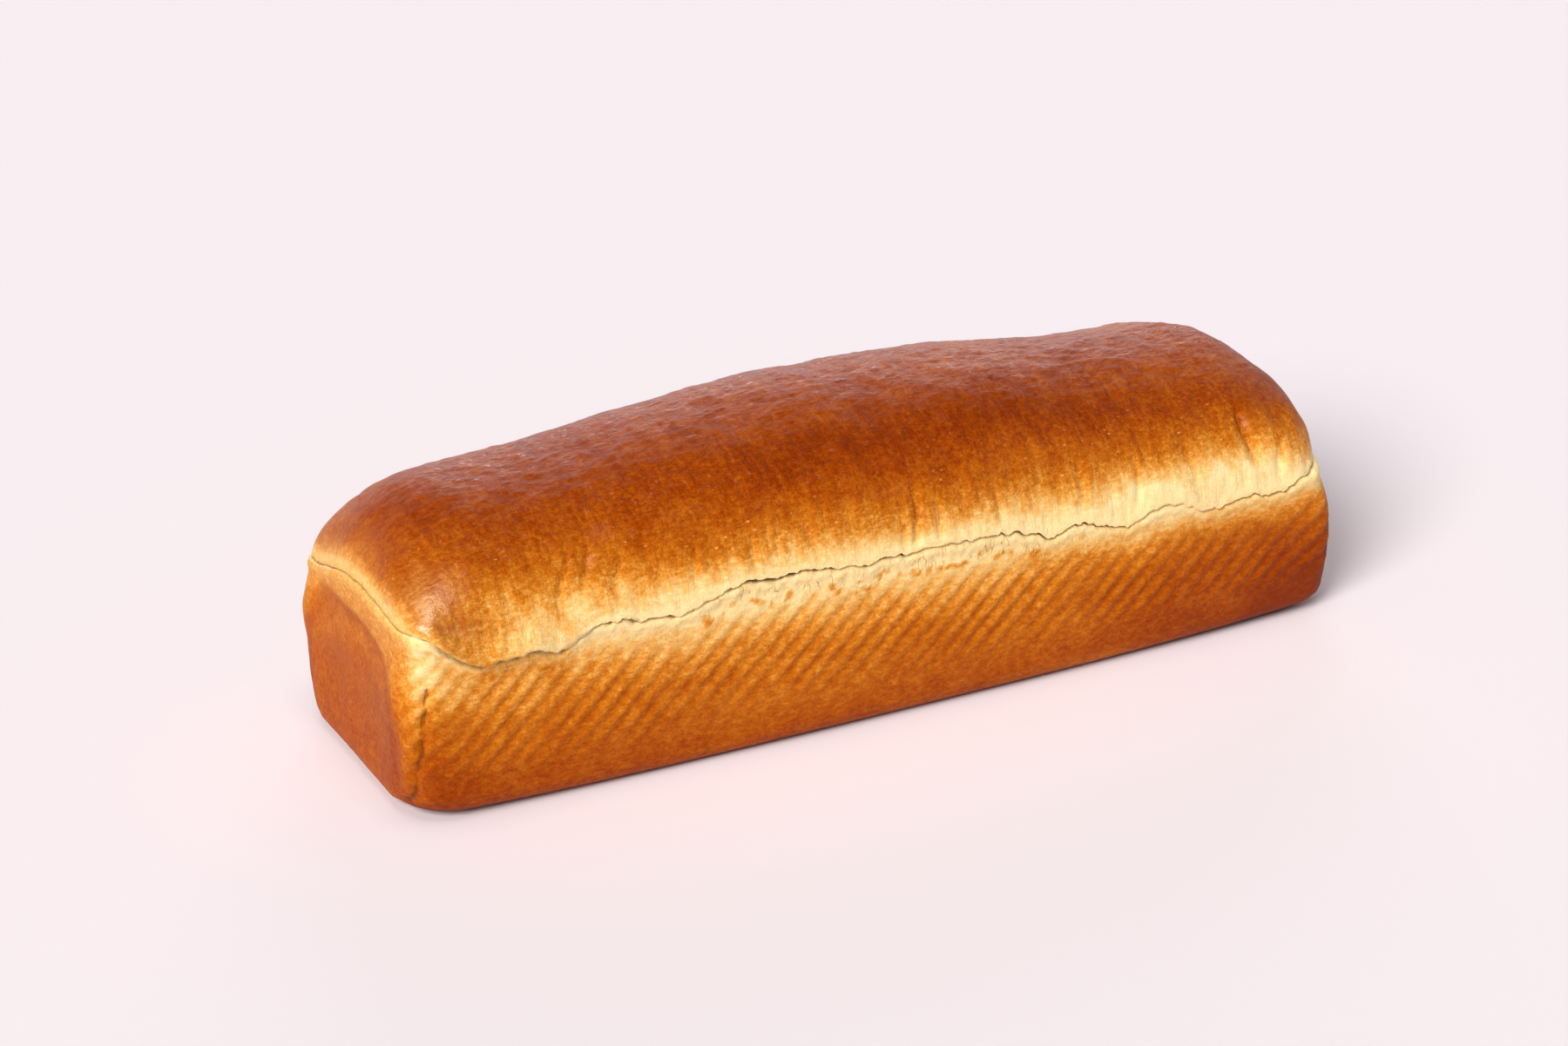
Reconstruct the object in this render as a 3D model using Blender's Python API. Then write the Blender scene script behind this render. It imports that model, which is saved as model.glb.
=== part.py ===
# Tin loaf: a long sandwich loaf baked in an open ribbed tin.
# One solid. +X runs along the loaf, -Y is the front long side, +Z is up.
# The flat bottom lies on z = 0 and the middle of the loaf is over the origin.

import math

import bmesh
import bpy
import numpy as np

MM = 0.001

# the part that stood in the tin
HALF_LENGTH = 204.0        # half the loaf's length at the break line
HALF_WIDTH = 60.0          # half its width at the break line
LEFT_DRAFT = 1.0           # how much shorter the left end is at the bottom
RIGHT_DRAFT = -4.0         # the right end has sagged out instead
SIDE_DRAFT = 2.0           # how much narrower each side is at the bottom
CORNER_RIGHT = 10.0        # plan radius of the right end's corners
CORNER_TOP = 15.0          # upright corner radius at the break line
CORNER_BOTTOM = 24.0       # upright corner radius at the bottom
BOTTOM_ROUND = 8.0         # radius of the bottom edge
SIDE_BOW = 3.2             # the long sides belly out in plan
BOW_POWER = 2.5
WALL_BELLY = 0.9           # and a little in height
END_DISH = 3.2             # the middle of each end wall has sunk in
END_BELLY = 4.5            # while its corners pushed out
LEFT_TOP_IN = 3.5          # the left end drew in again toward the break line
RIGHT_OUT = 2.2            # the right end stayed out
RIGHT_TOP_IN = 4.0         # but draws in toward its break line
END_LIFT = 2.6             # the bottom curls up at the ends

# ribs left by the tin
RIBS_LONG = 42             # ribs along a long side, corner to corner
RIBS_SHORT = 12            # and across an end
RIB_HEIGHT = 0.5           # half the height from valley to crest
RIB_LEAN = 1.0             # sideways travel for each unit of height
RIB_FOOT = 18.0            # where they have faded in above the bottom
RIB_TOP_GAP = 12.0         # where they fade below the break line
RIB_END_SHARE = 0.12       # how much of them is left on the ends

# the break line, where the crown rose out of the tin: share of the way
# along a side against height
BREAK_FRONT = [(0.0, 80.0), (0.03, 77.5), (0.06, 66.5), (0.08, 64.0), (0.13, 66.0), (0.16, 63.5),
               (0.18, 72.5), (0.24, 69.5), (0.35, 75.5), (0.48, 72.5), (0.6, 72.5), (0.68, 66.0),
               (0.76, 63.0), (0.8, 67.0), (0.86, 61.0), (0.94, 61.0), (1.0, 66.0)]
# the same line without its short steps, for the body of the crown
SOFT_FRONT = [(0.0, 80.0), (0.07, 71.0), (0.16, 69.0), (0.3, 71.5), (0.42, 74.0), (0.58, 72.5),
              (0.72, 67.0), (0.86, 64.0), (1.0, 66.0)]
BREAK_BACK = [(0.0, 66.0), (0.12, 63.5), (0.3, 70.0), (0.5, 73.5), (0.66, 71.0), (0.85, 64.5), (1.0, 66.0)]
BREAK_LEFT = [(0.0, 80.0), (0.2, 82.0), (0.36, 83.5), (0.52, 82.0), (0.8, 71.0), (1.0, 66.0)]
BREAK_RIGHT = [(0.0, 66.0), (0.16, 75.0), (0.35, 81.0), (0.65, 80.0), (1.0, 66.0)]
GROOVE_DEPTH = 2.6         # how far the crack goes in
RIM_BELLY = 0.9            # the wall swells just under it
LIP_OUT = 4.0              # the folded crust over the near left corner
LIP_DROP = 2.2
LIP_END = -138.0           # where along the front the fold stops

# the crown
CROWN_LEFT = 42.0          # how far the crown draws in toward the ridge at the left end
CROWN_RIGHT = 31.0         # and at the fuller right end
CROWN_OUT = 1.0            # the crown starts this far outside the long walls
CROWN_LEFT_IN = 4.5        # this far inside the left end wall
CROWN_RIGHT_IN = 0.5       # and this far inside the right one
LEFT_FAR_IN = 3.0          # the far left corner is drawn in
CROWN_SIDE_POWER = 2.04
CROWN_RISE_POWER = 1.75
CROWN_ROUNDING = 2.0       # how soon its plan turns from box to stadium
CAP_ANGLE = 60.0           # the ring where the top patch takes over, in degrees
RIDGE = [(-1.0, 107.0), (-0.9, 111.0), (-0.8, 113.0), (-0.59, 114.0), (-0.29, 120.3), (0.0, 123.2),
         (0.29, 120.6), (0.59, 112.0), (0.83, 109.5), (1.0, 107.0)]
# soft lobes of the crown: centre x, centre y, reach along, reach across, height
LOBES = [(-95.0, -24.0, 34.0, 20.0, 1.2), (-30.0, 10.0, 26.0, 26.0, 0.8), (48.0, -24.0, 30.0, 20.0, 1.2),
         (120.0, 4.0, 26.0, 26.0, 0.8), (10.0, 0.0, 11.0, 40.0, -1.3), (-142.0, 6.0, 18.0, 30.0, -0.8)]

# how finely the crust is divided
LONG_STEPS = 84            # two to a rib
SHORT_STEPS = 24
WALL_STEPS = 6
CROWN_STEPS = 7


def clearScene():
    for thing in list(bpy.data.objects):
        bpy.data.objects.remove(thing, do_unlink=True)


def smoothStep(low, high, value):
    share = np.clip((value - low) / (high - low), 0.0, 1.0)
    return share * share * (3.0 - 2.0 * share)


def throughPoints(pairs, value):
    """A smooth curve through named (place, size) pairs."""
    places = np.array([pair[0] for pair in pairs])
    sizes = np.array([pair[1] for pair in pairs])
    steps = np.diff(sizes) / np.diff(places)
    slopes = np.concatenate([steps[:1], np.zeros(len(steps) - 1), steps[-1:]])
    same = steps[:-1] * steps[1:] > 0.0             # level off at every high and low, so nothing overshoots
    both = np.where(same, steps[:-1] + steps[1:], 1.0)
    slopes[1:-1] = np.where(same, 2.0 * steps[:-1] * steps[1:] / both, 0.0)
    at = np.clip(np.searchsorted(places, value) - 1, 0, len(places) - 2)
    span = places[at + 1] - places[at]
    share = np.clip((value - places[at]) / span, 0.0, 1.0)
    rest = 1.0 - share
    level = sizes[at] * (1.0 + 2.0 * share) * rest ** 2 + sizes[at + 1] * share ** 2 * (3.0 - 2.0 * share)
    return level + span * (slopes[at] * share * rest ** 2 - slopes[at + 1] * share ** 2 * rest)


def outline(turn, halfLong, halfShort, corner):
    """Plan point on a rounded oblong. turn 0-1 is the front, 1-2 the right end, 2-3 the back, 3-4 the left end."""
    turn = np.mod(turn, 4.0)
    side = np.floor(turn).astype(int)
    mine = np.where(side % 2 == 0, halfLong, halfShort)
    other = np.where(side % 2 == 0, halfShort, halfLong)
    corner = np.minimum(corner, np.minimum(mine, other))
    arc = corner * math.pi / 4.0
    straight = 2.0 * (mine - corner)
    along = (turn - side) * (straight + 2.0 * arc)
    small = np.maximum(corner, 1e-9)
    first = np.where(along < arc, math.pi / 4.0 - along / small, 0.0)
    last = np.where(along > arc + straight, (along - arc - straight) / small, 0.0)
    run = np.clip(along - arc, 0.0, straight) - (mine - corner)
    run = run - corner * np.sin(first) + corner * np.sin(last)
    out = -(other - corner) - corner * np.minimum(np.cos(first), np.cos(last))
    x = np.choose(side, [run, -out, -run, out])
    y = np.choose(side, [out, run, -out, -run])
    return x, y


def breakHeight(x, y, softness=0.0):
    """Height of the break line over any plan point, blended from the four sides."""
    u = np.clip((x + HALF_LENGTH) / (2.0 * HALF_LENGTH), 0.0, 1.0)
    v = np.clip((y + HALF_WIDTH) / (2.0 * HALF_WIDTH), 0.0, 1.0)
    front = throughPoints(BREAK_FRONT, u) * (1.0 - softness) + throughPoints(SOFT_FRONT, u) * softness
    back = throughPoints(BREAK_BACK, u)
    left = throughPoints(BREAK_LEFT, v)
    right = throughPoints(BREAK_RIGHT, v)
    nearCorners = BREAK_FRONT[0][1] * (1 - u) + BREAK_FRONT[-1][1] * u
    farCorners = BREAK_BACK[0][1] * (1 - u) + BREAK_BACK[-1][1] * u
    return front * (1 - v) + back * v + left * (1 - u) + right * u - nearCorners * (1 - v) - farCorners * v


def ridgeHeight(x, y):
    """Height of the crown's ridge, with its soft lobes."""
    height = throughPoints(RIDGE, np.clip(x / HALF_LENGTH, -1.0, 1.0))
    for atX, atY, reachX, reachY, rise in LOBES:
        height = height + rise * np.exp(-((x - atX) / reachX) ** 2 - ((y - atY) / reachY) ** 2)
    return height


def bowed(x, y):
    """The long sides belly out in plan."""
    share = np.clip(np.abs(x) / HALF_LENGTH, 0.0, 1.0)
    return y + SIDE_BOW * (1.0 - share ** BOW_POWER) * y / HALF_WIDTH


def lipShare(x, y):
    """1 where the crust folds over at the near left corner, 0 elsewhere."""
    along = 1.0 - smoothStep(LIP_END - 6.0, LIP_END + 6.0, x)
    return along * (1.0 - smoothStep(-HALF_WIDTH + 3.0, -HALF_WIDTH + 17.0, y))


def farLeft(x, y):
    """How much the far left corner is drawn in."""
    return LEFT_FAR_IN * smoothStep(5.0, 50.0, y) * smoothStep(HALF_LENGTH - 40.0, HALF_LENGTH - 10.0, -x)


def wallPoint(turn, height, outward):
    """Point on the tin-shaped part, at a height and pushed outward."""
    nominal = height / 70.0
    halfLong = HALF_LENGTH + outward
    halfShort = HALF_WIDTH - SIDE_DRAFT * (1.0 - nominal) + outward
    corner = CORNER_BOTTOM + (CORNER_TOP - CORNER_BOTTOM) * nominal + 0.4 * outward
    toRight = smoothStep(0.5, 1.0, turn) * (1.0 - smoothStep(2.0, 2.5, turn))
    corner = corner + (CORNER_RIGHT - corner) * toRight
    x, y = outline(turn, halfLong, halfShort, corner)
    swell = np.sin(math.pi * np.clip(nominal, 0.0, 1.0))
    across = np.clip(1.0 - (y / HALF_WIDTH) ** 2, 0.0, 1.0)
    onEnd = smoothStep(HALF_LENGTH - 22.0, HALF_LENGTH - 4.0, np.abs(x))
    x = x + np.sign(x) * swell * onEnd * (END_BELLY - (END_DISH + END_BELLY) * across ** 1.3)
    leaning = RIGHT_DRAFT * smoothStep(0.0, HALF_LENGTH, x) - LEFT_DRAFT * smoothStep(0.0, HALF_LENGTH, -x)
    x = x - leaning * (1.0 - nominal)
    x = x + farLeft(x, y) * smoothStep(10.0, 35.0, height)
    x = x + onEnd * np.where(x < 0, LEFT_TOP_IN * smoothStep(42.0, 66.0, height),
                              RIGHT_OUT - RIGHT_TOP_IN * smoothStep(45.0, 75.0, height))
    onSide = smoothStep(HALF_WIDTH - 14.0, HALF_WIDTH - 3.0, np.abs(y))
    y = y + np.sign(y) * WALL_BELLY * swell * onSide
    return x, bowed(x, y)


def crownRing(angle):
    """Size of the crown's ring at an angle, its corner radius and how much fuller its right end is."""
    drawn = 1.0 - np.cos(angle) ** (2.0 / CROWN_SIDE_POWER)
    halfLong = HALF_LENGTH - CROWN_LEFT_IN * (1.0 - drawn) - CROWN_LEFT * drawn
    halfShort = np.maximum((HALF_WIDTH + CROWN_OUT) * (1.0 - drawn), 1e-4)
    corner = CORNER_TOP + (halfShort - CORNER_TOP) * np.clip(drawn * CROWN_ROUNDING, 0.0, 1.0)
    return halfLong, halfShort, np.minimum(corner, halfShort), \
        (CROWN_LEFT - CROWN_RIGHT) * drawn + (CROWN_LEFT_IN - CROWN_RIGHT_IN) * (1.0 - drawn)


def crownPoint(turn, angle, outward=0.0):
    """Point on the crown. angle 0 is the break line, 90 degrees the ridge."""
    risen = np.sin(angle) ** (2.0 / CROWN_RISE_POWER)
    halfLong, halfShort, corner, stretch = crownRing(angle)
    x, y = outline(turn, halfLong + outward, halfShort + outward, corner)
    x = x + stretch * smoothStep(0.0, HALF_LENGTH, x) + farLeft(x, y)
    base = breakHeight(x, y, smoothStep(math.radians(3.0), math.radians(30.0), angle))
    z = base + (ridgeHeight(x, y) - base) * risen
    return x, bowed(x, y), z


def capHeight(x, y):
    """Height of the crown over a plan point inside its top ring, found by halving the angle."""
    low = np.zeros_like(x)
    high = np.full_like(x, math.pi / 2.0)
    share = np.clip(np.abs(x) / HALF_LENGTH, 0.0, 1.0)
    flatY = np.abs(y) / (1.0 + SIDE_BOW * (1.0 - share ** BOW_POWER) / HALF_WIDTH)
    for _ in range(40):
        angle = 0.5 * (low + high)
        halfLong, halfShort, corner, stretch = crownRing(angle)
        overX = np.abs(x - stretch * smoothStep(0.0, HALF_LENGTH, x)) - halfLong + corner
        overY = flatY - halfShort + corner
        reach = np.hypot(np.maximum(overX, 0.0), np.maximum(overY, 0.0)) + np.minimum(np.maximum(overX, overY), 0.0)
        inside = reach < corner
        low = np.where(inside, angle, low)
        high = np.where(inside, high, angle)
    flat = np.sign(y) * flatY
    base = breakHeight(x, flat, 1.0)
    return base + (ridgeHeight(x, flat) - base) * np.sin(low) ** (2.0 / CROWN_RISE_POWER)


def shifted(turn, distance):
    """The place reached from turn by going a distance round the wall."""
    sides = (4.0 * math.pi / 8.0 * CORNER_TOP + 2.0 * (HALF_LENGTH - CORNER_TOP),
             4.0 * math.pi / 8.0 * CORNER_TOP + 2.0 * (HALF_WIDTH - CORNER_TOP))
    marks = np.array([0.0, sides[0], sides[0] + sides[1], 2.0 * sides[0] + sides[1], 2.0 * (sides[0] + sides[1])])
    gone = np.interp(np.mod(turn, 4.0), np.arange(5.0), marks)
    return np.interp(np.mod(gone + distance, marks[-1]), marks, np.arange(5.0))


def ribWave(turn, leaned, height, top):
    """Crest and valley of the tin's ribs: one crest every other column, none round the upright corners."""
    side = np.floor(np.mod(turn, 4.0)).astype(int)
    count = np.where(side % 2 == 0, RIBS_LONG, RIBS_SHORT)
    wave = np.cos(2.0 * math.pi * (turn - np.floor(turn)) * count)
    nearCorner = np.abs(leaned - np.round(leaned))
    reach = np.where(np.floor(np.mod(leaned, 4.0)).astype(int) % 2 == 0, 0.045, 0.15)
    wave = wave * smoothStep(0.5 * reach, reach, nearCorner)
    rise = smoothStep(RIB_FOOT - 5.0, RIB_FOOT + 4.0, height)
    fade = 1.0 - smoothStep(top - RIB_TOP_GAP - 5.0, top - RIB_TOP_GAP + 5.0, height)
    return wave * rise * fade * np.where(side % 2 == 0, 1.0, RIB_END_SHARE)


def ringOf(level, turn):
    """All the points of one ring of the crust, counted from the bottom up."""
    if level < 3:                                   # the rounded bottom edge
        tilt = math.radians((-90.0, -45.0, 0.0)[level])
        height = np.full_like(turn, BOTTOM_ROUND * (1.0 + math.sin(tilt)))
        inset = BOTTOM_ROUND * (1.0 - math.cos(tilt))
        leaned = shifted(turn, -RIB_LEAN * (64.0 - height))
        x, y = wallPoint(leaned, height, -inset)
        lift = 0.0 if level == 0 else END_LIFT
        return x, y, height + lift * np.clip(np.abs(x) / HALF_LENGTH, 0.0, 1.0) ** 4
    step = level - 2
    if step <= WALL_STEPS:                          # the ribbed wall
        share = step / WALL_STEPS
        x, y = wallPoint(turn, np.full_like(turn, 60.0), 0.0)
        top = breakHeight(x, y) - 7.0
        height = BOTTOM_ROUND + (top - BOTTOM_ROUND) * share
        leaned = shifted(turn, -RIB_LEAN * (64.0 - height) * (1.0 - share ** 6))
        x, y = wallPoint(leaned, height, RIB_HEIGHT * ribWave(turn, leaned, height, top + 7.0))
        lift = END_LIFT * (1.0 - share) * np.clip(np.abs(x) / HALF_LENGTH, 0.0, 1.0) ** 4
        return x, y, height + lift
    step = step - WALL_STEPS
    x, y = wallPoint(turn, np.full_like(turn, 70.0), 0.0)
    edge = breakHeight(x, y)
    if step == 1:                                   # the swollen rim under the crack
        x, y = wallPoint(turn, edge - 2.2, RIM_BELLY)
        return x, y, edge - 2.2
    if step == 2:                                   # the bottom of the crack
        x, y = wallPoint(turn, edge, -GROOVE_DEPTH)
        return x, y, edge
    if step == 3:                                   # the crown's own lower edge
        fold = lipShare(x, y)
        x, y, z = crownPoint(turn, np.full_like(turn, math.radians(1.5)), LIP_OUT * 0.7 * fold)
        return x, y, z + 1.0 - (LIP_DROP + 1.0) * fold
    step = step - 3
    angle = np.full_like(turn, math.radians(3.0 + (CAP_ANGLE - 3.0) * step / CROWN_STEPS))
    fold = lipShare(x, y) * (1.0 - smoothStep(0.5, 3.5, step))
    return crownPoint(turn, angle, LIP_OUT * fold)


RINGS = 3 + WALL_STEPS + 3 + CROWN_STEPS            # rings from the bottom edge to the cap
FIRST_COARSE = 3 + WALL_STEPS                       # above here every other column is enough


def cutBlock():
    """A plain block, cut by planes into one small face for each patch of crust."""
    mesh = bmesh.new()
    bmesh.ops.create_cube(mesh, size=1.0)
    counts = (LONG_STEPS, SHORT_STEPS, RINGS - 1)
    for vert in mesh.verts:
        for axis in range(3):
            vert.co[axis] = (vert.co[axis] + 0.5) * counts[axis]
    for axis in range(3):
        for cut in range(1, counts[axis]):
            if axis == 2 or cut % 2 == 0:
                slicePlane(mesh, axis, cut, None)
    # the odd columns are only needed where the ribs are
    for axis in range(2):
        for cut in range(1, counts[axis], 2):
            slicePlane(mesh, axis, cut, FIRST_COARSE - 1)
    # the flat bottom stays one face
    under = [face for face in mesh.faces if face.normal.z < -0.9]
    bmesh.ops.dissolve_faces(mesh, faces=under, use_verts=False)
    return mesh


def slicePlane(mesh, axis, cut, ceiling):
    """Cut the block on a plane, or only its part below a ceiling."""
    place = [0.0, 0.0, 0.0]
    place[axis] = cut
    normal = [0.0, 0.0, 0.0]
    normal[axis] = 1.0
    faces = list(mesh.faces)
    if ceiling is not None:
        faces = [face for face in faces if face.calc_center_median().z < ceiling and not flatCap(face)]
    edges = {edge for face in faces for edge in face.edges}
    bmesh.ops.bisect_plane(mesh, geom=faces + list(edges), dist=1e-5, plane_co=place, plane_no=normal)


def flatCap(face):
    return abs(face.normal.z) > 0.9


def moveToCrust(mesh):
    """Carry every corner of the cut block to its place on the loaf."""
    top = RINGS - 1
    rings = {}
    columns = 2 * (LONG_STEPS + SHORT_STEPS)
    turns = np.concatenate([side + np.arange(count) / count
                            for side, count in enumerate((LONG_STEPS, SHORT_STEPS, LONG_STEPS, SHORT_STEPS))])
    for level in range(RINGS):
        rings[level] = np.stack(ringOf(level, turns), axis=-1)
    for vert in mesh.verts:
        i, j, level = (int(round(value)) for value in vert.co)
        if j == 0 and i < LONG_STEPS:
            column = i
        elif i == LONG_STEPS and j < SHORT_STEPS:
            column = LONG_STEPS + j
        elif j == SHORT_STEPS and i > 0:
            column = LONG_STEPS + SHORT_STEPS + (LONG_STEPS - i)
        elif i == 0:
            column = 2 * LONG_STEPS + SHORT_STEPS + (SHORT_STEPS - j)
        else:
            vert.co = capPoint(i / LONG_STEPS, j / SHORT_STEPS, rings[top])
            continue
        vert.co = rings[level][column % columns]


def capPoint(u, v, ring):
    """Point of the top patch, spanned between the four sides of the crown's last ring."""
    i = int(round(u * LONG_STEPS))
    j = int(round(v * SHORT_STEPS))
    front = ring[i]
    right = ring[LONG_STEPS + j]
    back = ring[2 * LONG_STEPS + SHORT_STEPS - i]
    left = ring[(2 * LONG_STEPS + 2 * SHORT_STEPS - j) % len(ring)]
    corners = (ring[0], ring[LONG_STEPS], ring[LONG_STEPS + SHORT_STEPS], ring[2 * LONG_STEPS + SHORT_STEPS])
    point = front * (1 - v) + back * v + left * (1 - u) + right * u
    point = point - corners[0] * (1 - u) * (1 - v) - corners[1] * u * (1 - v)
    point = point - corners[2] * u * v - corners[3] * (1 - u) * v
    height = capHeight(np.array([point[0]]), np.array([point[1]]))[0]
    return (point[0], point[1], height)


def centre(mesh):
    """Put the middle of the loaf's box over the origin and its bottom on z = 0."""
    places = np.array([vert.co[:] for vert in mesh.verts])
    low = places.min(axis=0)
    high = places.max(axis=0)
    for vert in mesh.verts:
        vert.co.x -= (low[0] + high[0]) / 2.0
        vert.co.y -= (low[1] + high[1]) / 2.0
        vert.co.z -= low[2]
        vert.co *= MM


def crustMaterial():
    material = bpy.data.materials.new("crust")
    material.use_nodes = True
    shader = material.node_tree.nodes["Principled BSDF"]
    shader.inputs["Base Color"].default_value = (0.42, 0.15, 0.035, 1.0)
    shader.inputs["Roughness"].default_value = 0.55
    return material


def buildLoaf():
    mesh = cutBlock()
    moveToCrust(mesh)
    centre(mesh)
    bent = [face for face in mesh.faces if len(face.verts) > 3 and face.calc_center_median().z > 1e-6]
    bmesh.ops.triangulate(mesh, faces=bent, quad_method="SHORT_EDGE", ngon_method="BEAUTY")
    bmesh.ops.recalc_face_normals(mesh, faces=list(mesh.faces))
    data = bpy.data.meshes.new("loaf")
    mesh.to_mesh(data)
    mesh.free()
    data.materials.append(crustMaterial())
    loaf = bpy.data.objects.new("loaf", data)
    collection = bpy.data.collections.new("tin_loaf")
    bpy.context.scene.collection.children.link(collection)
    collection.objects.link(loaf)
    return loaf


clearScene()
loaf = buildLoaf()
print("tin loaf:", len(loaf.data.polygons), "faces, size in mm",
      [round(value / MM, 1) for value in loaf.dimensions])
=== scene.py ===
import math
import bpy
import numpy as np
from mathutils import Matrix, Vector, noise


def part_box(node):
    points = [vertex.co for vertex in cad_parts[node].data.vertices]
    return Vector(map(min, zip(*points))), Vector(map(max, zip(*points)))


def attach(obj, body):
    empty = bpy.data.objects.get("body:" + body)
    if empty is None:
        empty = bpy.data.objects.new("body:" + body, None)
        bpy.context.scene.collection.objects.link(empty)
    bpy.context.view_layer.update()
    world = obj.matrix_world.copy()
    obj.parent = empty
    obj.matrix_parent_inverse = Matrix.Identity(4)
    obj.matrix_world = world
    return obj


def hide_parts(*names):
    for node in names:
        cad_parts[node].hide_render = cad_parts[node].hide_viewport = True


# a long loaf baked in an open ribbed tin; sizes are in mm, +x runs to its right end and -y is its front
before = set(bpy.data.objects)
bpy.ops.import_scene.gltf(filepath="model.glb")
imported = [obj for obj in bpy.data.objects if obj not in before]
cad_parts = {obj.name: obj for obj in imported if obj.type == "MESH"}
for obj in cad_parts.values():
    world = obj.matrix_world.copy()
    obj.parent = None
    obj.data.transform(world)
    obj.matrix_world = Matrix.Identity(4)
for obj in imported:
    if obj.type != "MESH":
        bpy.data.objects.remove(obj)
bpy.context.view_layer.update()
mm = 0.001


def toLinear(hexColour):  # sRGB hex to the linear colour a shader socket wants
    parts = [int(hexColour[i:i + 2], 16) / 255 for i in (1, 3, 5)]
    return [p / 12.92 if p <= 0.04045 else ((p + 0.055) / 1.055) ** 2.4 for p in parts] + [1.0]


def smoothStep(low, high, value):
    share = np.clip((value - low) / (high - low), 0, 1)
    return share * share * (3 - 2 * share)


def hump(value, centre, reach):
    return np.exp(-((value - centre) / reach) ** 2)


def throughPoints(pairs, value):
    # smooth curve through (place, size) pairs that levels off at each high and low
    places = np.array([pair[0] for pair in pairs], float)
    sizes = np.array([pair[1] for pair in pairs], float)
    steps = np.diff(sizes) / np.diff(places)
    slopes = np.concatenate([steps[:1], np.zeros(len(steps) - 1), steps[-1:]])
    same = steps[:-1] * steps[1:] > 0
    slopes[1:-1] = np.where(same, 2 * steps[:-1] * steps[1:] / np.where(same, steps[:-1] + steps[1:], 1), 0)
    at = np.clip(np.searchsorted(places, value) - 1, 0, len(places) - 2)
    span = places[at + 1] - places[at]
    share = np.clip((value - places[at]) / span, 0, 1)
    rest = 1 - share
    level = sizes[at] * (1 + 2 * share) * rest ** 2 + sizes[at + 1] * share ** 2 * (3 - 2 * share)
    return level + span * (slopes[at] * share * rest ** 2 - slopes[at + 1] * share ** 2 * rest)


def rough(points, size, seed, octaves=1):
    # smooth random field, about -1 to 1, with bumps of the given size (one number or one per axis)
    scaled = points / np.array(size) + seed * 17.3
    if octaves == 1:
        return np.array([noise.noise(p) for p in scaled.tolist()]) * 1.6
    return np.array([noise.fractal(p, 0.6, 2.1, octaves) for p in scaled.tolist()]) * 1.6


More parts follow.
